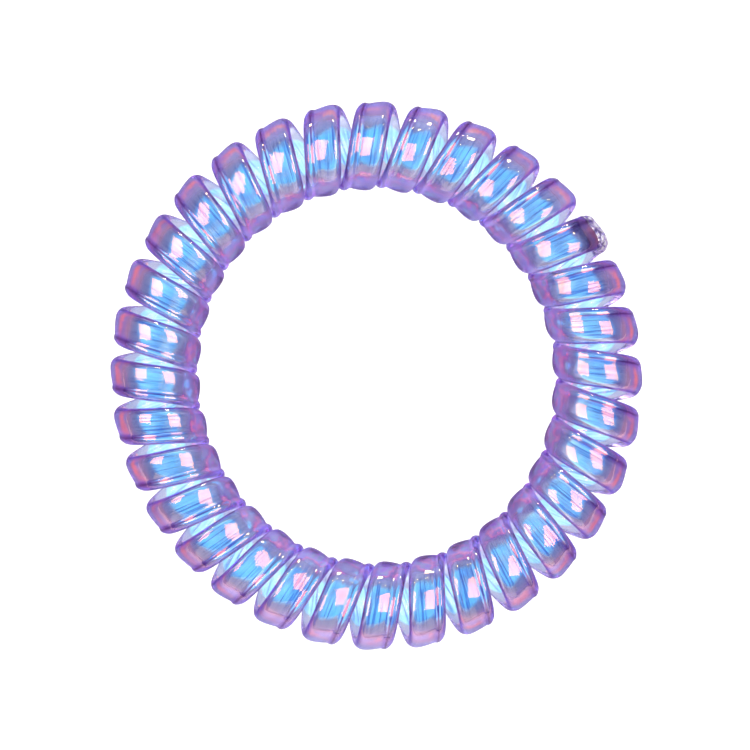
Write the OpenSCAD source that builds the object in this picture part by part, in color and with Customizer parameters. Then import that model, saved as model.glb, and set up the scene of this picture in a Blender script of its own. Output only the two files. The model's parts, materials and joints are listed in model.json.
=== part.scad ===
// Spiral hair tie: a springy ribbon of plastic wound in coils round a closed ring.
// The ring lies on z = 0, with its middle on the Z axis. Millimetres and degrees.
// Angles round the ring are anticlockwise from +X, seen from above.

/* [Ring] */
// Mean radius of the line that the coils wind round
ring_r = 22.55; // [20:0.05:28]
// How much that radius grows on the long axis and shrinks on the short one
oval = 0.475; // [0:0.025:1.5]
// Angle of the ring's long axis
oval_angle = 101.4; // [0:0.1:180]
// Number of coils in the ring
coils = 32; // [24:1:36]
// Angle at which the first coil is farthest out
first_coil_angle = 89.7; // [0:0.1:360]
// Furthest that any coil strays from even spacing round the ring
stray = 0.4; // [0:0.05:1]
// Angle round which the coils stray anticlockwise
stray_angle = 105; // [0:1:360]

/* [Ribbon] */
// Outside diameter of a coil
coil_d = 9; // [7:0.1:10]
// How far the top of each coil leans back, clockwise, and its underside the other way
coil_tilt = 0.7; // [0:0.05:1]
// Thickness of the ribbon
strand_t = 1.5; // [1:0.05:1.8]
// Clearance between neighbouring coils, where they are closest beside the hole
coil_gap = 0.06; // [0.05:0.01:0.4]
// How much wider the ribbon is elsewhere than beside the hole, where it is squeezed
squeeze = 0.18; // [0:0.01:0.3]
// Distance from the anticlockwise edge of the ribbon to the groove beside its rim
rim_w = 1.2; // [0.9:0.05:1.3]
// Depth of that groove
groove_depth = 0.15; // [0:0.01:0.25]
// Size of the rounding along the ribbon's edges
edge_round = 0.6; // [0.4:0.05:0.7]

/* [Weld bead] */
// Where round the ring the ribbon's two ends meet, on the nearest coil
weld_angle = 33.5; // [0:0.5:360]
// How far the bead reaches along its coil
weld_span = 90; // [45:22.5:135]
// Thickness of the bead
weld_t = 0.32; // [0.25:0.01:0.4]
// Clearance between the bead and the ribbon inside it
weld_gap = 0.07; // [0.05:0.01:0.12]
// Height of the lumps on the bead
lump_h = 0.12; // [0:0.01:0.15]

/* [Hidden] */

// Sections of the ribbon in each coil, and sections of the bead for each of those
coil_sections = 16;
weld_fineness = 3;

strand_colour = [0.56, 0.60, 0.88, 0.85];
weld_colour = [0.74, 0.70, 0.92, 0.75];

// Radius from the middle of a coil to the middle of the ribbon's thickness
wind_r = (coil_d - strand_t) / 2;

// Beside the hole the ribbon is as wide as the room for each coil allows.
// It leans from coil to coil, which takes up a little of that room.
coil_pitch = 360 / coils * (1 - stray * PI / 180);
room = min(inner_room(ring_r + oval, 4 * oval), inner_room(ring_r - oval, -4 * oval));
tilt_rise = coil_tilt * PI / 180 * (ring_r - wind_r);
lean = atan((room / (2 * PI) + tilt_rise) / wind_r);
inner_w = room * cos(lean) - coil_gap;
outer_w = inner_w + squeeze;

// Section of the ribbon, from its anticlockwise edge over its outer face, where it is
// w wide: x runs across the ribbon, and y away from the middle of the coil
half_t = strand_t / 2;
function strand_section(w) =
    let (half_w = w / 2, shoulder = 0.35 * edge_round, bevel = 0.05 * edge_round)
    [
        [half_w, 0],
        [half_w - shoulder, half_t - edge_round / 2],
        [half_w - edge_round, half_t - bevel],
        [half_w - rim_w, half_t - groove_depth],
        [half_w - 1.6 * rim_w, half_t],
        [edge_round - half_w, half_t - bevel],
        [shoulder - half_w, half_t - edge_round / 2],
        [-half_w, 0],
        [edge_round - half_w, -half_t],
        [half_w - edge_round, -half_t]
    ];

section_step = 360 / coil_sections;

// The bead runs the same way to both sides of the place where its coil is farthest
// out, and starts and ends on a section of the ribbon
weld_coil = round((first_coil_angle - weld_angle) / 360 * coils);
weld_reach = max(1, round(weld_span / 2 / section_step)) * section_step;
weld_start = -360 * weld_coil - weld_reach;
weld_step = section_step / weld_fineness;
weld_rows = round(2 * weld_reach / weld_step);

// Room from coil to coil along the line beside the hole, on an axis of the oval.
// There the middle line has radius r and bends as sharply as bend says.
function inner_room(r, sharper) =
    let (bend = (r + sharper) / (r * r))
    r * coil_pitch * PI / 180 * (1 - wind_r * bend);

function unit(v) = v / norm(v);

// The line that the coils wind round: its radius, and how that grows with the angle
function mid_r(angle) = ring_r + oval * cos(2 * (angle - oval_angle));
function mid_growth(angle) = -2 * oval * sin(2 * (angle - oval_angle));
function outward(angle) =
    let (r = mid_r(angle), grow = mid_growth(angle))
    unit([r * cos(angle) + grow * sin(angle), r * sin(angle) - grow * cos(angle), 0]);

// The turn is the angle along a coil: 0 where it is farthest out, 90 at its top.
// Each whole turn moves the ribbon on by one coil round the ring.
function ring_angle(turn) =
    let (even = first_coil_angle + turn / coils)
    even + stray * cos(even - stray_angle) - coil_tilt * sin(turn);
function width_at(turn) =
    let (squeezed = pow((1 - cos(turn)) / 2, 3))
    outer_w + (inner_w - outer_w) * squeezed;
function away(turn) = cos(turn) * outward(ring_angle(turn)) + sin(turn) * [0, 0, 1];
function wind_point(turn) =
    let (angle = ring_angle(turn), r = mid_r(angle))
    [r * cos(angle), r * sin(angle), coil_d / 2] + wind_r * away(turn);
function across(turn) =
    unit(cross(wind_point(turn + 1) - wind_point(turn - 1), away(turn)));

// A section's points, set in place at a turn
function placed(section, turn) =
    let (middle = wind_point(turn), x_axis = across(turn), y_axis = away(turn))
    [for (p = section) middle + p.x * x_axis + p.y * y_axis];

// The ribbon's own section at a turn, with each of its points moved outward by its
// own distance
function side_normal(a, b) = unit([b.y - a.y, a.x - b.x]);
function grown(turn, distances) =
    let (section = strand_section(width_at(turn)), n = len(section))
    [
        for (i = [0 : n - 1])
            let (
                before = side_normal(section[(i + n - 1) % n], section[i]),
                after = side_normal(section[i], section[(i + 1) % n])
            )
            section[i] + distances[i] * (before + after) / (1 + before * after)
    ];
function around(turn, distances) = placed(grown(turn, distances), turn);

// The same on the straight facet between the two nearest sections of the ribbon
function around_facet(turn, distances) =
    let (
        start = section_step * floor(turn / section_step),
        share = (turn - start) / section_step,
        a = around(start, distances),
        b = around(start + section_step, distances)
    )
    [for (i = [0 : len(a) - 1]) a[i] * (1 - share) + b[i] * share];

// How far the bead's outside stands off the ribbon, in row i at point j.
// The bead is thickest on the outside of the coil and on the clockwise edge of the
// ribbon, it thins towards both ends, and its lumps follow two crossing waves.
function bead_height(i, j) =
    let (
        p = strand_section(outer_w)[j],
        outside = (1 + p.y / half_t) / 2,
        clockwise = (1 - 2 * p.x / outer_w) / 2,
        share = 0.4 + 0.35 * outside + 0.25 * clockwise,
        swell = sin(180 * i / weld_rows),
        waves = (2 + sin(137 * i + 40 * j) + sin(71 * i - 95 * j)) / 4
    )
    weld_gap + share * (weld_t * (0.6 + 0.4 * swell) + lump_h * swell * waves);

// A solid skinned over rows of points, where the last row joins the first
module skinned(rows) {
    n = len(rows[0]);
    count = len(rows);
    faces = [
        for (i = [0 : count - 1], j = [0 : n - 1])
            let (
                here = i * n,
                next = (i + 1) % count * n,
                k = (j + 1) % n
            )
            each [
                [here + j, here + k, next + k],
                [here + j, next + k, next + j]
            ]
    ];
    polyhedron([for (row = rows) each row], faces, convexity = 10);
}

module strand() {
    color(strand_colour)
        skinned([
            for (i = [0 : coils * coil_sections - 1])
                let (turn = i * section_step)
                placed(strand_section(width_at(turn)), turn)
        ]);
}

// A lumpy sleeve of clear melted plastic round the place where the ends meet
module weld_bead() {
    points = len(strand_section(outer_w));
    clearances = [for (j = [1 : points]) weld_gap];
    outer_rows = [
        for (i = [0 : weld_rows])
            let (heights = [for (j = [0 : points - 1]) bead_height(i, j)])
            around(weld_start + i * weld_step, heights)
    ];
    inner_rows = [
        for (i = [weld_rows : -1 : 0])
            around_facet(weld_start + i * weld_step, clearances)
    ];
    color(weld_colour)
        skinned(concat(outer_rows, inner_rows));
}

strand();
weld_bead();
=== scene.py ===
"""Spiral hair tie: its glossy coiled ribbon, its weld bead and a plain white studio."""
import json
import math

import bpy
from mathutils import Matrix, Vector

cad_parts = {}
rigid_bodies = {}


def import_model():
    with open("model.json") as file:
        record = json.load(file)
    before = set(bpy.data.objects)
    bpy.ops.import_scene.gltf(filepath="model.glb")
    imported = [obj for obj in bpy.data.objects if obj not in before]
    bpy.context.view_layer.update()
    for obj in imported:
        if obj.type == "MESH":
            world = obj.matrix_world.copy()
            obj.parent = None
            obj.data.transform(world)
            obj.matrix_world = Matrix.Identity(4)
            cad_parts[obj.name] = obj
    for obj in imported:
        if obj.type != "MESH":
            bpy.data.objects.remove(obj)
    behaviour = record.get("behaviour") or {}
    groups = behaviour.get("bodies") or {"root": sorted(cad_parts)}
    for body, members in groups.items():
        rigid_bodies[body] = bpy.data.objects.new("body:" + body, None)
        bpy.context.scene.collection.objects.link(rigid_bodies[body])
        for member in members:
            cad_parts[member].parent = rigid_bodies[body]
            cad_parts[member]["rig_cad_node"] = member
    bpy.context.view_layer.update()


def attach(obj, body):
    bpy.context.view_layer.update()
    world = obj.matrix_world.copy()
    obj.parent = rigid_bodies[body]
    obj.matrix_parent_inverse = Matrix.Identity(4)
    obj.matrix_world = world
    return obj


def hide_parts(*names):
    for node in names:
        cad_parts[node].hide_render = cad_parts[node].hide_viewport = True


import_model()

bl_info = {
    "name": "Spiral Hair Tie",
    "version": (1, 0, 0),
    "blender": (4, 5, 0),
    "location": "3D View > Sidebar > Hair Tie",
    "description": "Winds a translucent ribbon into a spiral hair tie and lights it",
    "category": "Add Mesh",
}

MM = 0.001
# Height of the middle of the coils, which is half the diameter of those in the frame
COIL_MIDDLE = 4.5 * MM


def linear(hex_colour):
    """An sRGB hex colour as linear red, green, blue and alpha."""
    channels = [int(hex_colour[i:i + 2], 16) / 255 for i in (1, 3, 5)]
    return tuple(
        c / 12.92 if c <= 0.04045 else ((c + 0.055) / 1.055) ** 2.4 for c in channels
    ) + (1.0,)


# Settings


class RibbonSettings(bpy.types.PropertyGroup):
    """Sizes of the ribbon and of the ring that it is wound round."""

    ring_radius: bpy.props.FloatProperty(
        name="Ring radius",
        description="Mean radius of the line that the coils wind round",
        default=22.55 * MM, unit="LENGTH",
    )
    oval: bpy.props.FloatProperty(
        name="Oval",
        description="How much longer the ring's radius is on its long axis",
        default=0.475 * MM, unit="LENGTH",
    )
    oval_angle: bpy.props.FloatProperty(
        name="Long axis",
        description="Direction of the ring's long axis, anticlockwise from +X",
        default=math.radians(101.4), subtype="ANGLE",
    )
    coils: bpy.props.IntProperty(
        name="Coils",
        description="Number of coils in the ring",
        default=32, min=3,
    )
    first_angle: bpy.props.FloatProperty(
        name="First coil",
        description="Direction in which the first coil is farthest out",
        default=math.radians(89.7), subtype="ANGLE",
    )
    stray: bpy.props.FloatProperty(
        name="Stray",
        description="Furthest that any coil strays from even spacing",
        default=math.radians(0.4), subtype="ANGLE",
    )
    stray_angle: bpy.props.FloatProperty(
        name="Stray angle",
        description="Direction round which the coils stray anticlockwise",
        default=math.radians(105), subtype="ANGLE",
    )
    coil_tilt: bpy.props.FloatProperty(
        name="Coil tilt",
        description="How far the top of each coil leans back, clockwise",
        default=math.radians(0.7), subtype="ANGLE",
    )
    coil_diameter: bpy.props.FloatProperty(
        name="Coil diameter",
        description="Outside diameter of a coil",
        default=8.96 * MM, unit="LENGTH",
    )
    width: bpy.props.FloatProperty(
        name="Ribbon width",
        description="Width of the ribbon on the outside of the ring",
        default=3.67 * MM, unit="LENGTH",
    )
    squeeze: bpy.props.FloatProperty(
        name="Squeeze",
        description="How much narrower the ribbon is beside the hole",
        default=0.18 * MM, unit="LENGTH",
    )
    thickness: bpy.props.FloatProperty(
        name="Ribbon thickness",
        description="Thickness of the ribbon",
        default=1.5 * MM, unit="LENGTH",
    )
    crown_place: bpy.props.FloatProperty(
        name="Crown place",
        description="Where the ribbon is thickest, clockwise from its middle",
        default=0.93 * MM, unit="LENGTH",
    )
    crown_shift: bpy.props.FloatProperty(
        name="Crown shift",
        description="How much nearer the middle it is on the +X side than on the -X side",
        default=0.5 * MM, unit="LENGTH",
    )
    crown_swing: bpy.props.FloatProperty(
        name="Crown swing",
        description="How much farther clockwise it is on the Y sides than on the X sides",
        default=0.5 * MM, unit="LENGTH",
    )
    crown_wander: bpy.props.FloatProperty(
        name="Crown wander",
        description="How far the thickest place strays from coil to coil",
        default=0.14 * MM, unit="LENGTH",
    )
    crown_radius: bpy.props.FloatProperty(
        name="Crown radius",
        description="Radius of the domed outer face, anticlockwise of its crown",
        default=4.4 * MM, unit="LENGTH",
    )
    shoulder_radius: bpy.props.FloatProperty(
        name="Shoulder radius",
        description="Radius of the domed outer face, clockwise of its crown",
        default=2.2 * MM, unit="LENGTH",
    )
    rim_place: bpy.props.FloatProperty(
        name="Rim place",
        description="Middle of the raised rim, anticlockwise from the ribbon's middle",
        default=1.32 * MM, unit="LENGTH",
    )
    rim_radius: bpy.props.FloatProperty(
        name="Rim radius",
        description="Radius of the raised rim",
        default=0.55 * MM, unit="LENGTH",
    )
    rim_drop: bpy.props.FloatProperty(
        name="Rim drop",
        description="How far the top of the rim is below the crown",
        default=0.22 * MM, unit="LENGTH",
    )
    section_points: bpy.props.IntProperty(
        name="Section points",
        description="Points round the ribbon's section",
        default=56, min=12,
    )
    steps: bpy.props.IntProperty(
        name="Steps",
        description="Sections of the ribbon in each coil",
        default=48, min=8,
    )


class WeldSettings(bpy.types.PropertyGroup):
    """Sizes of the bead of melted plastic over the joint of the ribbon's two ends."""

    coil: bpy.props.IntProperty(
        name="Coil",
        description="Coil that carries the bead, counted clockwise from the first",
        default=5,
    )
    reach: bpy.props.FloatProperty(
        name="Reach",
        description="How far the bead reaches along its coil to either side",
        default=math.radians(32), subtype="ANGLE",
    )
    clearance: bpy.props.FloatProperty(
        name="Clearance",
        description="Space between the bead and the ribbon inside it",
        default=0.03 * MM, unit="LENGTH",
    )
    thickness: bpy.props.FloatProperty(
        name="Thickness",
        description="Thickness of the bead where it is thickest",
        default=0.18 * MM, unit="LENGTH",
    )
    lump_size: bpy.props.FloatProperty(
        name="Lump size",
        description="Distance from lump to lump",
        default=0.8 * MM, unit="LENGTH",
    )
    lump_height: bpy.props.FloatProperty(
        name="Lump height",
        description="Height of the lumps",
        default=0.15 * MM, unit="LENGTH",
    )
    thinnest: bpy.props.FloatProperty(
        name="Thinnest",
        description="Thickness of the bead at its two ends",
        default=0.02 * MM, unit="LENGTH",
    )
    rows: bpy.props.IntProperty(
        name="Rows",
        description="Faces of the bead from one end to the other",
        default=44, min=8,
    )
    columns: bpy.props.IntProperty(
        name="Columns",
        description="Faces of the bead round the ribbon",
        default=60, min=12,
    )


class StudioSettings(bpy.types.PropertyGroup):
    """Where the camera and the lamps stand."""

    camera_height: bpy.props.FloatProperty(
        name="Camera height",
        description="Height of the camera over the middle of the coils",
        default=600 * MM, unit="LENGTH",
    )
    frame_width: bpy.props.FloatProperty(
        name="Frame width",
        description="Width that the picture covers at the height of the coils",
        default=75 * MM, unit="LENGTH",
    )
    dome_light: bpy.props.FloatProperty(
        name="Dome light",
        description="Brightness of the white canopy overhead",
        default=0.35,
    )
    dome_angle: bpy.props.FloatProperty(
        name="Dome edge",
        description="Angle from straight up to the edge of the white canopy",
        default=math.radians(58), subtype="ANGLE",
    )
    low_light: bpy.props.FloatProperty(
        name="Low light",
        description="Brightness of the room below the canopy",
        default=0.1,
    )
    softbox_light: bpy.props.FloatProperty(
        name="Softbox light",
        description="Brightness of the two softboxes",
        default=22.0,
    )
    glint_light: bpy.props.FloatProperty(
        name="Glint light",
        description="Brightness of the small lamps low behind the ring",
        default=150.0,
    )
    front_light: bpy.props.FloatProperty(
        name="Front light",
        description="Brightness of the card that stands in front of the ring",
        default=8.0,
    )
    mirrored_floor: bpy.props.FloatVectorProperty(
        name="Mirrored floor",
        description="Light of the floor where the gloss of the coils mirrors it",
        default=(0.2, 0.1, 0.42), subtype="COLOR", min=0.0, max=5.0,
    )
    mirrored_front: bpy.props.FloatVectorProperty(
        name="Mirrored front",
        description="The same for the floor in front of the ring, below the card",
        default=(4.0, 4.4, 5.0), subtype="COLOR", min=0.0, max=5.0,
    )
    floor_light: bpy.props.FloatProperty(
        name="Floor light",
        description="Brightness of the lit floor itself",
        default=1.2,
    )


# Small helpers


def deselect_all():
    """Leaves nothing selected before a piece is added."""
    for thing in bpy.context.view_layer.objects:
        thing.select_set(False)


def apply_modifier(piece, name, kind, **values):
    """Puts one modifier on a piece and applies it."""
    modifier = piece.modifiers.new(name, kind)
    for key, value in values.items():
        setattr(modifier, key, value)
    bpy.context.view_layer.objects.active = piece
    bpy.ops.object.modifier_apply(modifier=modifier.name)


def new_material(name):
    """An empty material and its node tree."""
    material = bpy.data.materials.new(name)
    material.use_nodes = True
    material.node_tree.nodes.clear()
    return material, material.node_tree


def add_node(tree, kind, settings=None, inputs=None):
    """Adds a node with its settings, and sets each input or links it to a socket."""
    node = tree.nodes.new(kind)
    for key, value in (settings or {}).items():
        setattr(node, key, value)
    for key, value in (inputs or {}).items():
        if isinstance(value, bpy.types.NodeSocket):
            tree.links.new(value, node.inputs[key])
        else:
            node.inputs[key].default_value = value
    return node


# The next ones return a node's result. Each value is a number, a colour or a socket.


def calculate(tree, operation, *values):
    """One step of arithmetic."""
    settings = {"operation": operation}
    return add_node(tree, "ShaderNodeMath", settings, dict(enumerate(values))).outputs[0]


def remap(tree, value, from_min=0.0, from_max=1.0, to_min=0.0, to_max=1.0, curve="LINEAR"):
    """A value taken from one range to another, and kept within it."""
    inputs = {
        "Value": value, "From Min": from_min, "From Max": from_max,
        "To Min": to_min, "To Max": to_max,
    }
    settings = {"interpolation_type": curve}
    return add_node(tree, "ShaderNodeMapRange", settings, inputs).outputs[0]


def mix(tree, share, a, b, blend="MIX"):
    """Colour a with a share of colour b in it."""
    settings = {"data_type": "RGBA", "blend_type": blend}
    inputs = {"Factor": share, "A": a, "B": b}
    return add_node(tree, "ShaderNodeMix", settings, inputs).outputs["Result"]


def ramp(tree, value, stops, start=0.0, end=1.0):
    """A colour by value, from stops of value and sRGB hex colour between start and end."""
    node = add_node(tree, "ShaderNodeValToRGB", None, {"Fac": value})
    elements = node.color_ramp.elements
    while len(elements) < len(stops):
        elements.new(1.0)
    for element, (place, colour) in zip(elements, stops):
        element.position = (place - start) / (end - start)
        element.color = linear(colour)
    return node.outputs["Color"]


def parts_of(tree, vector):
    """A node with the X, Y and Z of a vector."""
    return add_node(tree, "ShaderNodeSeparateXYZ", None, {0: vector})


# The line that the ribbon follows. The turn is the angle along a coil: 0 where it is
# farthest out, a quarter turn at its top. Each whole turn moves on by one coil.


def ring_angle(ribbon, turn):
    """The angle round the ring, anticlockwise from +X."""
    even = ribbon.first_angle + turn / ribbon.coils
    stray = ribbon.stray * math.cos(even - ribbon.stray_angle)
    return even + stray - ribbon.coil_tilt * math.sin(turn)


def ring_radius(ribbon, angle):
    """The radius of the oval line that the coils wind round."""
    return ribbon.ring_radius + ribbon.oval * math.cos(2 * (angle - ribbon.oval_angle))


def away(ribbon, turn):
    """The way from the middle of the coil to the ribbon."""
    angle = ring_angle(ribbon, turn)
    r = ring_radius(ribbon, angle)
    grow = -2 * ribbon.oval * math.sin(2 * (angle - ribbon.oval_angle))
    out = Vector((
        r * math.cos(angle) + grow * math.sin(angle),
        r * math.sin(angle) - grow * math.cos(angle),
        0,
    )).normalized()
    return math.cos(turn) * out + math.sin(turn) * Vector((0, 0, 1))


def wind_point(ribbon, turn):
    """The middle of the ribbon's thickness."""
    angle = ring_angle(ribbon, turn)
    r = ring_radius(ribbon, angle)
    wind_radius = (ribbon.coil_diameter - ribbon.thickness) / 2
    middle = Vector((r * math.cos(angle), r * math.sin(angle), COIL_MIDDLE))
    return middle + wind_radius * away(ribbon, turn)


def across(ribbon, turn):
    """The way across the ribbon, to its anticlockwise edge."""
    step = math.radians(1)
    ahead = wind_point(ribbon, turn + step) - wind_point(ribbon, turn - step)
    return ahead.cross(away(ribbon, turn)).normalized()


# The ribbon's section, which changes a little along each coil


def width_at(ribbon, turn):
    """The ribbon's width, which is squeezed beside the hole."""
    squeezed = ((1 - math.cos(turn)) / 2) ** 3
    return ribbon.width - ribbon.squeeze * squeezed


def crown_place(ribbon, turn):
    """Where the ribbon is thickest, which strays a little along the strand."""
    angle = ring_angle(ribbon, turn)
    wander = math.sin(0.38 * turn) + math.sin(0.61 * turn + 1.0)
    shift = ribbon.crown_shift * math.cos(angle) + ribbon.crown_swing * math.cos(2 * angle)
    return ribbon.crown_place - shift / 2 + ribbon.crown_wander / 2 * wander


def outside_share(turn):
    """1 on the outside of the ring, and 0 from a coil's top and underside inwards."""
    return max(math.cos(turn), 0) ** 2


def edge_power(ribbon, turn, anticlockwise):
    """How square an edge is: high is square, and low is round.

    On the outside of the ring both edges are rounder, and so is the clockwise one on
    the Y sides of the ring.
    """
    if anticlockwise:
        return 10 - 2.5 * outside_share(turn)
    upper = 8 + 2 * math.cos(2 * ring_angle(ribbon, turn))
    return upper * (1 - 0.4 * outside_share(turn))


def smooth_max(a, b, blend):
    """The larger of two heights, with a fillet where they cross."""
    near = max(blend - abs(a - b), 0) / blend
    return max(a, b) + near * near * blend / 4


def section_point(ribbon, angle, turn, crown_at):
    """A point of the ribbon's section, as shares of half its width and thickness.

    The outer face is a dome beside a lower raised rim, with a groove between them, and
    the inner face is flat. On the outside of the ring, where the ribbon is stretched,
    the dome is flatter and the groove shallower.
    """
    half_t = ribbon.thickness / 2
    outside = outside_share(turn)
    x = math.cos(angle)
    edge = (1 - abs(x) ** edge_power(ribbon, turn, x > 0)) ** 0.5
    if math.sin(angle) < 0:
        return x, -edge
    place = x * ribbon.width / 2
    from_crown = place + crown_at
    radius = ribbon.shoulder_radius
    if from_crown > 0:
        radius = ribbon.crown_radius * (1 + outside)
    crown = half_t - from_crown ** 2 / (2 * radius)
    from_rim = place - ribbon.rim_place * (1 - 0.12 * outside)
    rim = half_t - ribbon.rim_drop * (1 - 0.4 * outside)
    rim -= from_rim ** 2 / (2 * ribbon.rim_radius)
    return x, edge * smooth_max(crown, rim, 0.02 * MM) / half_t


# The strand


def section_angles(ribbon):
    """Angles of the points round the ribbon's section, none of them on its very edge."""
    count = ribbon.section_points
    return [2 * math.pi * (i + 0.5) / count for i in range(count)]


def straight_spring(ribbon):
    """A straight spring of closed sections, one after the other in vertex order."""
    deselect_all()
    bpy.ops.mesh.primitive_circle_add(vertices=ribbon.section_points, radius=1.0)
    strand = bpy.context.object
    strand.name = strand.data.name = "ribbon_strand"
    half_w = ribbon.width / 2
    half_t = ribbon.thickness / 2
    for angle, vertex in zip(section_angles(ribbon), strand.data.vertices):
        x, y = section_point(ribbon, angle, 0, ribbon.crown_place)
        vertex.co = (x * half_w, y * half_t, 0)
    wind_radius = (ribbon.coil_diameter - ribbon.thickness) / 2
    bpy.ops.object.mode_set(mode="EDIT")
    bpy.ops.mesh.select_all(action="SELECT")
    bpy.ops.transform.translate(value=(0, wind_radius, 0))
    bpy.ops.object.mode_set(mode="OBJECT")
    apply_modifier(
        strand, "wind", "SCREW",
        axis="X", angle=-2 * math.pi,
        screw_offset=2 * math.pi * ribbon.ring_radius / ribbon.coils,
        iterations=ribbon.coils, steps=ribbon.steps, render_steps=ribbon.steps,
        use_merge_vertices=False, use_smooth_shade=True,
    )
    return strand


def close_into_ring(ribbon, strand):
    """Bends the spring round the oval ring and joins its two ends.

    It also keeps three values of each point for the material: across is its share of
    the half width, outer_face is 1 on the outer face, and outward is 1 on the outside
    of the ring and -1 beside the hole.
    """
    mesh = strand.data
    angles = section_angles(ribbon)
    half_t = ribbon.thickness / 2
    rings = ribbon.coils * ribbon.steps
    places, shares, faces, outs = [], [], [], []
    for ring in range(rings + 1):
        turn = 2 * math.pi * ring / ribbon.steps
        crown_at = crown_place(ribbon, turn)
        # The crown strays back to where it began as the ring closes
        closing = max(0, 1 - (rings - ring) / ribbon.steps)
        crown_at += closing * (crown_place(ribbon, 0) - crown_at)
        middle = wind_point(ribbon, turn)
        sideways = across(ribbon, turn) * width_at(ribbon, turn) / 2
        outward = away(ribbon, turn) * half_t
        for angle in angles:
            x, y = section_point(ribbon, angle, turn, crown_at)
            places.extend(middle + x * sideways + y * outward)
            shares.append(x)
            faces.append(float(y > -0.1))
            outs.append(math.cos(turn))
    mesh.vertices.foreach_set("co", places)
    for name, values in (("across", shares), ("outer_face", faces), ("outward", outs)):
        mesh.attributes.new(name, "FLOAT", "POINT").data.foreach_set("value", values)
    bpy.ops.object.mode_set(mode="EDIT")
    bpy.ops.mesh.select_all(action="SELECT")
    bpy.ops.mesh.remove_doubles(threshold=0.001 * MM)
    bpy.ops.mesh.normals_make_consistent(inside=False)
    bpy.ops.object.mode_set(mode="OBJECT")
    mesh.update()


# What the film lets through, by its tilt in degrees: first where it is seen square on
SQUARE_ON = (
    (0, "#8CE8FF"), (12, "#8CE8FF"), (18, "#7CDCFF"), (26, "#7EDEFF"), (30, "#7C86AC"),
)
# Along the middle of the ribbon. Its pink band from 54 to 60 degrees is a painted
# reflection of the floor.
MIDDLE_TINTS_AND_REFLECTION = SQUARE_ON + (
    (50, "#70769A"), (54, "#F87C78"), (60, "#F87C78"), (64, "#8474C8"), (72, "#9088D4"),
    (90, "#7448B0"),
)
# Beside its middle
SIDE_TINTS = SQUARE_ON + (
    (46, "#74689C"), (57, "#965C98"), (64, "#886CC4"), (72, "#9088D4"), (90, "#7448B0"),
)
# Along its middle beside the hole. Its pink band from 52 to 57 degrees is a painted
# reflection of the floor.
INNER_TINTS_AND_REFLECTION = SQUARE_ON + (
    (42, "#6E7298"), (48, "#7C509C"), (52, "#E45C94"), (57, "#FF8CA0"), (61, "#9468C8"),
    (66, "#6484C0"), (71, "#8CA4A4"), (77, "#9C6CCA"), (90, "#7448B0"),
)
# How much the tints of the middle, with their painted reflection, show, by share of the
# half width on the outside of the ring. Beside the hole they show farther anticlockwise.
MIDDLE_REFLECTION_SHOWS = (
    (-1.0, "#404040"), (-0.85, "#C0C0C0"), (-0.7, "#FFFFFF"), (0.15, "#FFFFFF"),
    (0.4, "#606060"), (1.0, "#404040"),
)
MIDDLE_SHIFT = 0.1
# How the groove, the rim and the two edges change the tints, by share of the half width.
# The dark lines in the groove and along both edges are painted shade.
EDGE_SHADE_TINTS = (
    (-1.0, "#B89CE0"), (-0.97, "#8C68CC"), (-0.92, "#8C5CD0"), (-0.85, "#FFFFFF"),
    (0.34, "#FFFFFF"), (0.42, "#E0D0FC"), (0.50, "#D8C4F8"), (0.54, "#7C4098"),
    (0.60, "#7C4098"), (0.65, "#F4E8FF"), (0.76, "#F4E8FF"), (0.81, "#DCD0FC"),
    (0.88, "#DCD0FC"), (0.92, "#9C78DC"), (0.96, "#C8B0F0"), (1.0, "#E0D0F8"),
)
# How the die lines change them, by the noise that the lines follow
LINE_TINTS = ((0.38, "#5A78C8"), (0.46, "#D0E0F8"), (0.53, "#E0ECFC"), (0.6, "#FFFFFF"))
# The die leaves its lines about 0.18 mm apart
LINES_PER_HALF_WIDTH = 10


def attribute(tree, name):
    """One of the values that the strand keeps of each point."""
    return add_node(tree, "ShaderNodeAttribute", {"attribute_name": name}).outputs["Fac"]


def die_lines(tree, spot, share):
    """Noise that is drawn out into fine lines along the ribbon."""
    slow = add_node(
        tree, "ShaderNodeVectorMath", {"operation": "SCALE"},
        {0: spot, "Scale": 1 / (6 * MM)},
    )
    line = calculate(tree, "MULTIPLY", share, LINES_PER_HALF_WIDTH)
    noise = add_node(
        tree, "ShaderNodeTexNoise", {"noise_dimensions": "4D"},
        {"Vector": slow.outputs[0], "W": line, "Scale": 1.0, "Detail": 2.0},
    )
    return noise.outputs["Fac"]


def film_tilt(tree, normal):
    """Tilt of the film as a share of a right angle.

    Half of it is the tilt out of the ring's own plane, which keeps the colours in their
    places on the coils, and half comes from the view.
    """
    upright = calculate(tree, "ABSOLUTE", normal.outputs["Z"])
    glance = add_node(tree, "ShaderNodeLayerWeight", None, {"Blend": 0.5})
    straight = calculate(tree, "SUBTRACT", 1.0, glance.outputs["Facing"])
    cosine = add_node(
        tree, "ShaderNodeMix", {"data_type": "FLOAT"},
        {"Factor": 0.5, "A": upright, "B": straight},
    )
    tilt = calculate(tree, "ARCCOSINE", cosine.outputs[0])
    return calculate(tree, "DIVIDE", tilt, math.pi / 2)


def film_colour(tree, tilt, lines, patches, beside_hole, middle_reflection_shows):
    """The film's colour, with its painted reflection. Patches and die lines shift it, most
    of all beside the hole.
    """
    uneven = remap(tree, beside_hole, to_min=0.2, to_max=1.4)
    shifts = remap(tree, tilt, 0.33, 0.5, to_max=uneven)
    off_patch = calculate(tree, "SUBTRACT", patches, 0.5)
    patched = calculate(tree, "MULTIPLY_ADD", off_patch, shifts, tilt)
    off_line = calculate(tree, "SUBTRACT", lines, 0.5)
    film_at = calculate(tree, "MULTIPLY_ADD", off_line, 0.12, patched)
    side, middle, inner = (
        ramp(tree, film_at, stops, end=90)
        for stops in (SIDE_TINTS, MIDDLE_TINTS_AND_REFLECTION, INNER_TINTS_AND_REFLECTION)
    )
    return mix(tree, middle_reflection_shows, side, mix(tree, beside_hole, middle, inner))


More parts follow.
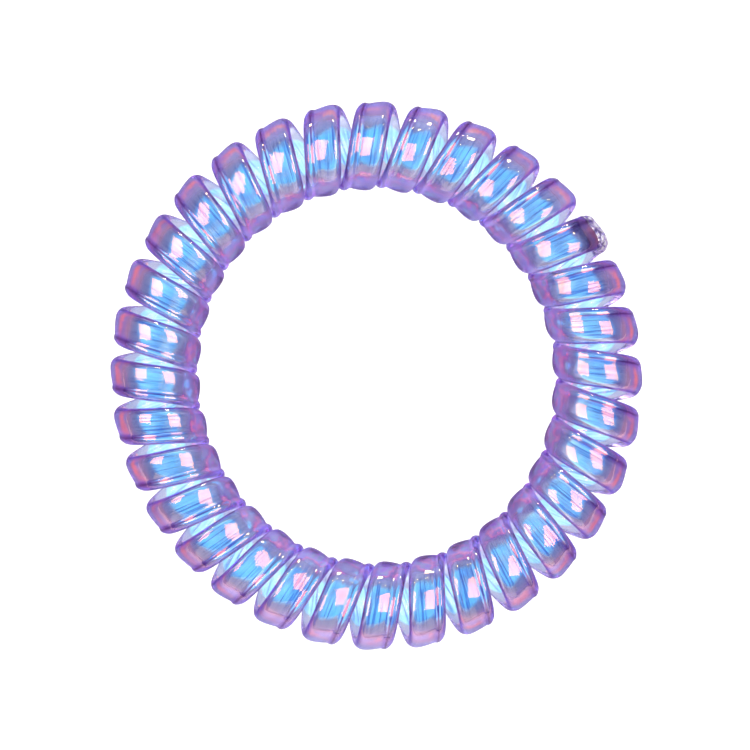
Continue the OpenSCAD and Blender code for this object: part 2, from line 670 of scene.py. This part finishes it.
def middle_reflection_share(tree, spot, share, outward, patches, backfacing):
    """How much the tints of the ribbon's middle and their painted reflection show, which is
    uneven in patches.
    """
    from_edge = remap(tree, share, -1.0)
    shifted = calculate(tree, "MULTIPLY_ADD", outward, MIDDLE_SHIFT, from_edge)
    middle_at = calculate(tree, "SUBTRACT", shifted, MIDDLE_SHIFT)
    middle = ramp(tree, middle_at, MIDDLE_REFLECTION_SHOWS, start=-1)
    # They show less towards the two ends of the ring's long axis
    from_middle = calculate(tree, "ABSOLUTE", parts_of(tree, spot).outputs["Y"])
    thinner = remap(tree, from_middle, 14 * MM, 24 * MM, 0.25, 0.42)
    patchy = remap(tree, patches, thinner, 0.57, to_max=middle)
    # They show less from inside the plastic too
    from_inside = remap(tree, backfacing, to_min=1.0, to_max=0.8)
    return calculate(tree, "MULTIPLY", patchy, from_inside)


def edge_shade_colour(tree, share, beside_hole):
    """Painted shade along the groove and the edges. Beside the hole the anticlockwise edge
    is painted lighter.
    """
    # Dark lines of painted shade in the groove and along both edges
    edges = ramp(tree, remap(tree, share, -1.0), EDGE_SHADE_TINTS, start=-1)
    # Beside the hole the anticlockwise edge is painted lighter
    painted_lighter_edge = remap(tree, share, 0.3, 0.6, to_max=beside_hole)
    return mix(tree, painted_lighter_edge, edges, (1.4, 1.35, 1.3, 1))


def ribbon_material():
    """Extruded thermoplastic polyurethane, dyed violet, with an iridescent film.

    It is clear enough to see the coils behind. The film lets cyan through where it is
    seen square on and violet where it is tilted. The pink bands where it is tilted are a
    painted reflection of the floor, and the film is painted paler where it faces the front,
    as a painted reflection of the light in front. Its gloss is pink, the groove and the
    edges carry painted shade, and the die leaves fine lines along it.
    """
    material, tree = new_material("iridescent_polyurethane")
    place = add_node(tree, "ShaderNodeTexCoord")
    spot = place.outputs["Object"]
    normal = parts_of(tree, place.outputs["Normal"])
    backfacing = add_node(tree, "ShaderNodeNewGeometry").outputs["Backfacing"]
    share = attribute(tree, "across")
    face = attribute(tree, "outer_face")
    outward = attribute(tree, "outward")
    beside_hole = remap(tree, outward, -0.2, -0.7)
    lines = die_lines(tree, spot, share)
    tilt = film_tilt(tree, normal)
    # The patches are about 1.6 mm across
    patches = add_node(
        tree, "ShaderNodeTexNoise", None,
        {"Vector": spot, "Scale": 1 / (1.6 * MM), "Detail": 2.0},
    ).outputs["Fac"]
    # Where the middle tints and their painted reflection show
    middle_reflection_shows = middle_reflection_share(tree, spot, share, outward, patches, backfacing)
    film = film_colour(tree, tilt, lines, patches, beside_hole, middle_reflection_shows)
    # Painted reflection of the light in front: the film is painted paler where it faces the
    # front, in the same patches
    front_reflection_patches = remap(tree, patches, 0.36, 0.6, 1.0, 0.25)
    front_reflection_share = remap(tree, normal.outputs["Y"], -0.4, -0.85, to_max=front_reflection_patches)
    paler = mix(tree, front_reflection_share, film, linear("#C8D0F8"))
    both = mix(tree, 1.0, paler, edge_shade_colour(tree, share, beside_hole), "MULTIPLY")
    # The lines show most where the film is cyan
    lined_share = remap(tree, tilt, 0.3, 0.42, 1.0, 0.4)
    lined = mix(tree, lined_share, both, ramp(tree, lines, LINE_TINTS), "MULTIPLY")
    # The film is on the outer face alone. The inner face is plain and less smooth.
    tint = mix(tree, face, (1, 1, 1, 1), lined)
    rough = remap(tree, face, to_min=0.25, to_max=0.015)
    # The coating mirrors the lamps outside. The rim, the inner face and the inside of
    # the plastic mirror less, or each coil would show them several times over.
    from_groove = remap(tree, share, 0.3, 0.42, 1.0, 0.06)
    outside = calculate(tree, "SUBTRACT", face, backfacing)
    gloss = add_node(
        tree, "ShaderNodeMath", {"operation": "MULTIPLY", "use_clamp": True},
        {0: outside, 1: from_groove},
    )
    bump = add_node(
        tree, "ShaderNodeBump", None,
        {"Strength": 0.5, "Distance": 0.02 * MM, "Height": lines},
    )
    skin = add_node(
        tree, "ShaderNodeBsdfPrincipled", None,
        {
            "Base Color": tint, "Roughness": rough, "Normal": bump.outputs[0],
            "IOR": 1.5, "Transmission Weight": 1.0,
            "Specular IOR Level": gloss.outputs[0], "Specular Tint": linear("#FFA038"),
        },
    )
    dye = add_node(
        tree, "ShaderNodeVolumeAbsorption", None,
        {"Color": (0.32, 0.07, 0.79, 1.0), "Density": 50.0},
    )
    add_node(
        tree, "ShaderNodeOutputMaterial", None,
        {"Surface": skin.outputs[0], "Volume": dye.outputs[0]},
    )
    return material


class HAIRTIE_OT_strand(bpy.types.Operator):
    """Wind the ribbon into the ring of coils"""

    bl_idname = "hairtie.strand"
    bl_label = "Strand"

    def execute(self, context):
        ribbon = context.scene.hairtie_ribbon
        strand = straight_spring(ribbon)
        close_into_ring(ribbon, strand)
        strand.data.materials.append(ribbon_material())
        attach(strand, "root")
        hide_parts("strand")
        return {"FINISHED"}


# The weld bead


def bead_shell(ribbon, weld):
    """A sleeve round the joint: out along its outside and back along its inside."""
    deselect_all()
    bpy.ops.mesh.primitive_grid_add(
        x_subdivisions=2 * weld.rows, y_subdivisions=weld.columns, size=2
    )
    bead = bpy.context.object
    bead.name = bead.data.name = "weld_bead_lumps"
    half_t = ribbon.thickness / 2
    outside = bead.vertex_groups.new(name="outside")
    for vertex in bead.data.vertices:
        along, angle = vertex.co.x + 1, (vertex.co.y + 1) * math.pi
        back = max(along - 1, 0)
        share = along - 2 * back
        turn = -2 * math.pi * weld.coil + weld.reach * (2 * share - 1)
        half_w = width_at(ribbon, turn) / 2
        crown_at = crown_place(ribbon, turn)
        x, y = section_point(ribbon, angle, turn, crown_at)
        x1, y1 = section_point(ribbon, angle - 0.05, turn, crown_at)
        x2, y2 = section_point(ribbon, angle + 0.05, turn, crown_at)
        normal = Vector(((y2 - y1) * half_t, (x1 - x2) * half_w)).normalized()
        height = weld.clearance
        if back == 0:
            # The bead is thickest half way along, outside and on the clockwise edge
            swell = math.sin(math.pi * min(max(share, 0), 1))
            side = max(0.45 + 0.3 * y - 0.35 * x, 0.1)
            height += weld.thinnest + weld.thickness * swell * side
            outside.add([vertex.index], swell, "REPLACE")
        vertex.co = (
            wind_point(ribbon, turn)
            + (x * half_w + normal.x * height) * across(ribbon, turn)
            + (y * half_t + normal.y * height) * away(ribbon, turn)
        )
    bpy.ops.object.mode_set(mode="EDIT")
    bpy.ops.mesh.select_all(action="SELECT")
    bpy.ops.mesh.remove_doubles(threshold=0.002 * MM)
    bpy.ops.mesh.normals_make_consistent(inside=False)
    bpy.ops.object.mode_set(mode="OBJECT")
    lumps = bpy.data.textures.new("melted_lumps", "CLOUDS")
    lumps.noise_scale = weld.lump_size
    lumps.noise_depth = 1
    apply_modifier(
        bead, "lumps", "DISPLACE", texture=lumps, texture_coords="LOCAL",
        vertex_group="outside", mid_level=0.2, strength=weld.lump_height,
    )
    bpy.data.textures.remove(lumps)
    bead.data.shade_smooth()
    return bead


def bead_material():
    """The same polyurethane, melted and set again: clear with a slight haze, and lumpy.

    Fine wrinkles run between lumps about 0.9 mm across, with painted shade along them for
    the dark edges where they bend the light.
    """
    material, tree = new_material("melted_polyurethane")
    spot = add_node(tree, "ShaderNodeTexCoord").outputs["Object"]
    bent = add_node(
        tree, "ShaderNodeTexNoise", None,
        {"Vector": spot, "Scale": 1 / (0.5 * MM), "Detail": 1.0},
    )
    astray = add_node(
        tree, "ShaderNodeVectorMath", {"operation": "MULTIPLY_ADD"},
        {0: bent.outputs["Color"], 1: (0.6 * MM,) * 3, 2: spot},
    )
    wrinkles = add_node(
        tree, "ShaderNodeTexVoronoi", {"feature": "DISTANCE_TO_EDGE"},
        {"Vector": astray.outputs[0], "Scale": 1 / (0.9 * MM)},
    ).outputs["Distance"]
    # Painted shade along the wrinkles, for the dark edges where they bend the light
    wrinkle_shade = ((0.045, "#30186C"), (0.09, "#C8B8F0"), (0.16, "#FFFFFF"))
    bump = add_node(
        tree, "ShaderNodeBump", None,
        {"Strength": 0.6, "Distance": 0.25 * MM, "Height": wrinkles},
    )
    skin = add_node(
        tree, "ShaderNodeBsdfPrincipled", None,
        {
            "Base Color": ramp(tree, wrinkles, wrinkle_shade), "Roughness": 0.02,
            "IOR": 1.35, "Transmission Weight": 0.88, "Normal": bump.outputs[0],
        },
    )
    add_node(tree, "ShaderNodeOutputMaterial", None, {"Surface": skin.outputs[0]})
    return material


class HAIRTIE_OT_weld_bead(bpy.types.Operator):
    """Melt a lumpy bead of plastic over the joint of the ribbon's two ends"""

    bl_idname = "hairtie.weld_bead"
    bl_label = "Weld bead"

    def execute(self, context):
        scene = context.scene
        bead = bead_shell(scene.hairtie_ribbon, scene.hairtie_weld)
        bead.data.materials.append(bead_material())
        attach(bead, "root")
        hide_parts("weld_bead")
        return {"FINISHED"}


# The studio


def white_floor(studio):
    """A wide sheet of white card, lit evenly.

    The gloss of the coils mirrors it in shade, but bright in front of the ring.
    """
    deselect_all()
    bpy.ops.mesh.primitive_plane_add(size=4.0)
    floor = bpy.context.object
    floor.name = floor.data.name = "studio_floor"
    material, tree = new_material("white_card")
    spot = add_node(tree, "ShaderNodeTexCoord").outputs["Object"]
    ahead = parts_of(tree, spot).outputs["Y"]
    in_front = remap(tree, ahead, -22 * MM, -60 * MM, curve="SMOOTHSTEP")
    mirrored = mix(tree, in_front, (*studio.mirrored_floor, 1), (*studio.mirrored_front, 1))
    path = add_node(tree, "ShaderNodeLightPath")
    lit = mix(
        tree, path.outputs["Is Reflection Ray"], (*[studio.floor_light] * 3, 1), mirrored
    )
    card = add_node(
        tree, "ShaderNodeBsdfPrincipled", None,
        {
            "Base Color": linear("#404040"), "Roughness": 0.9,
            "Emission Color": lit, "Emission Strength": 1.0,
        },
    )
    add_node(tree, "ShaderNodeOutputMaterial", None, {"Surface": card.outputs[0]})
    floor.data.materials.append(material)


def studio_world(studio):
    """A white canopy overhead, a dimmer room below it, and plain white to the camera."""
    world = bpy.data.worlds.new("studio_room")
    bpy.context.scene.world = world
    world.use_nodes = True
    tree = world.node_tree
    tree.nodes.clear()
    place = add_node(tree, "ShaderNodeTexCoord")
    height = parts_of(tree, place.outputs["Generated"]).outputs["Z"]
    edge = math.cos(studio.dome_angle)
    light = remap(
        tree, height, edge - 0.05, edge + 0.05, studio.low_light, studio.dome_light,
        "SMOOTHSTEP",
    )
    path = add_node(tree, "ShaderNodeLightPath")
    seen = add_node(
        tree, "ShaderNodeMix", {"data_type": "FLOAT"},
        {"Factor": path.outputs["Is Camera Ray"], "A": light, "B": 1.0},
    )
    sky = add_node(
        tree, "ShaderNodeBackground", None,
        {"Color": (1, 1, 1, 1), "Strength": seen.outputs[0]},
    )
    add_node(tree, "ShaderNodeOutputWorld", None, {"Surface": sky.outputs[0]})


def toward(azimuth, tilt):
    """The way to a lamp, in degrees clockwise from +Y and down from straight up."""
    azimuth, tilt = math.radians(azimuth), math.radians(tilt)
    return Vector((
        math.sin(azimuth) * math.sin(tilt),
        math.cos(azimuth) * math.sin(tilt),
        math.cos(tilt),
    ))


def add_lamp(name, direction, size, distance, brightness, colour):
    """A flat lamp of a given brightness that faces the ring, sized across and up."""
    lamp = bpy.data.lights.new(name, "AREA")
    lamp.shape = "RECTANGLE"
    lamp.size, lamp.size_y = size
    lamp.energy = brightness * math.pi * size[0] * size[1]
    lamp.color = colour
    thing = bpy.data.objects.new(name, lamp)
    bpy.context.scene.collection.objects.link(thing)
    thing.location = direction.normalized() * distance
    # The lamp shines along its own -Z
    thing.rotation_euler = direction.to_track_quat("Z", "Y").to_euler()


def camera_over_ring(studio):
    """The camera looks straight down at the ring, a little off its middle."""
    lens = bpy.data.cameras.new("camera")
    lens.sensor_width = 36.0
    lens.lens = lens.sensor_width * studio.camera_height / studio.frame_width
    lens.clip_end = 20.0
    thing = bpy.data.objects.new("camera", lens)
    bpy.context.scene.collection.objects.link(thing)
    thing.location = (-0.14 * MM, 0.08 * MM, COIL_MIDDLE + studio.camera_height)
    bpy.context.scene.camera = thing


# The softboxes stand to the right and left, a little behind the middle of the ring.
# Tilts are degrees down from straight up, and sizes and distances are in metres.
SOFTBOX_TILT = 36.5
SOFTBOX_BEHIND = Vector((0, 0.05, 0))
SOFTBOX_SIZE = (0.48, 0.32)
SOFTBOX_COLOUR = (1.0, 0.82, 0.62)
# A card stands in front of the ring
CARD_TILT = 68
CARD_SIZE = (1.1, 0.48)
CARD_DISTANCE = 0.7
CARD_COLOUR = (0.42, 0.74, 1.0)
# All other lamps stand at one distance
LAMP_DISTANCE = 0.6
# Small lamps shine low from behind it: name, degrees clockwise from +Y, tilt, size, and
# share of the brightness
GLINT_COLOUR = (0.6, 0.9, 1.0)
GLINTS = (
    ("glint_row_1", -34, 61, (0.02, 0.014), 2.5),
    ("glint_row_2", -12, 61, (0.02, 0.014), 2.5),
    ("glint_row_3", 12, 61, (0.02, 0.014), 2.5),
    ("glint_row_4", 34, 61, (0.02, 0.014), 2.5),
    ("glint_lamp", 10, 79, (0.09, 0.08), 1.6),
    ("glint_strip", -20, 100, (0.24, 0.04), 1.6),
)


class HAIRTIE_OT_studio(bpy.types.Operator):
    """Lay the floor, and place the lamps and the camera"""

    bl_idname = "hairtie.studio"
    bl_label = "Studio"

    def execute(self, context):
        studio = context.scene.hairtie_studio
        white_floor(studio)
        studio_world(studio)
        for name, azimuth in (("softbox_right", 90), ("softbox_left", -90)):
            add_lamp(
                name, toward(azimuth, SOFTBOX_TILT) + SOFTBOX_BEHIND, SOFTBOX_SIZE,
                LAMP_DISTANCE, studio.softbox_light, SOFTBOX_COLOUR,
            )
        add_lamp(
            "front_card", toward(180, CARD_TILT), CARD_SIZE, CARD_DISTANCE,
            studio.front_light, CARD_COLOUR,
        )
        for name, azimuth, tilt, size, share in GLINTS:
            add_lamp(
                name, toward(azimuth, tilt), size, LAMP_DISTANCE,
                studio.glint_light * share, GLINT_COLOUR,
            )
        camera_over_ring(studio)
        context.scene.view_settings.view_transform = "Standard"
        # Light passes many walls of the clear coils
        context.scene.cycles.max_bounces = 24
        context.scene.cycles.transmission_bounces = 24
        context.scene.cycles.glossy_bounces = 12
        return {"FINISHED"}


# The panel


class HAIRTIE_PT_panel(bpy.types.Panel):
    """Sizes and steps of the hair tie"""

    bl_label = "Spiral Hair Tie"
    bl_space_type = "VIEW_3D"
    bl_region_type = "UI"
    bl_category = "Hair Tie"

    def draw(self, context):
        scene = context.scene
        groups = (scene.hairtie_ribbon, scene.hairtie_weld, scene.hairtie_studio)
        for settings in groups:
            box = self.layout.box()
            for name in settings.bl_rna.properties.keys():
                if name not in ("rna_type", "name"):
                    box.prop(settings, name)
        for step in STEPS:
            self.layout.operator(step.bl_idname)


STEPS = (HAIRTIE_OT_strand, HAIRTIE_OT_weld_bead, HAIRTIE_OT_studio)
CLASSES = (RibbonSettings, WeldSettings, StudioSettings, *STEPS, HAIRTIE_PT_panel)


def register():
    """Adds the classes, and their settings to the scene."""
    for item in CLASSES:
        bpy.utils.register_class(item)
    bpy.types.Scene.hairtie_ribbon = bpy.props.PointerProperty(type=RibbonSettings)
    bpy.types.Scene.hairtie_weld = bpy.props.PointerProperty(type=WeldSettings)
    bpy.types.Scene.hairtie_studio = bpy.props.PointerProperty(type=StudioSettings)


def unregister():
    """Takes them out again."""
    del bpy.types.Scene.hairtie_ribbon
    del bpy.types.Scene.hairtie_weld
    del bpy.types.Scene.hairtie_studio
    for item in reversed(CLASSES):
        bpy.utils.unregister_class(item)


def main():
    """Builds the pieces and the studio."""
    register()
    # What Blender starts with goes, and the nodes of the frame stay
    for thing in list(bpy.data.objects):
        if thing.type in {"MESH", "LIGHT", "CAMERA"} and "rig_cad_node" not in thing:
            bpy.data.objects.remove(thing)
    bpy.ops.hairtie.strand()
    bpy.ops.hairtie.weld_bead()
    bpy.ops.hairtie.studio()


if __name__ == "__main__":
    main()
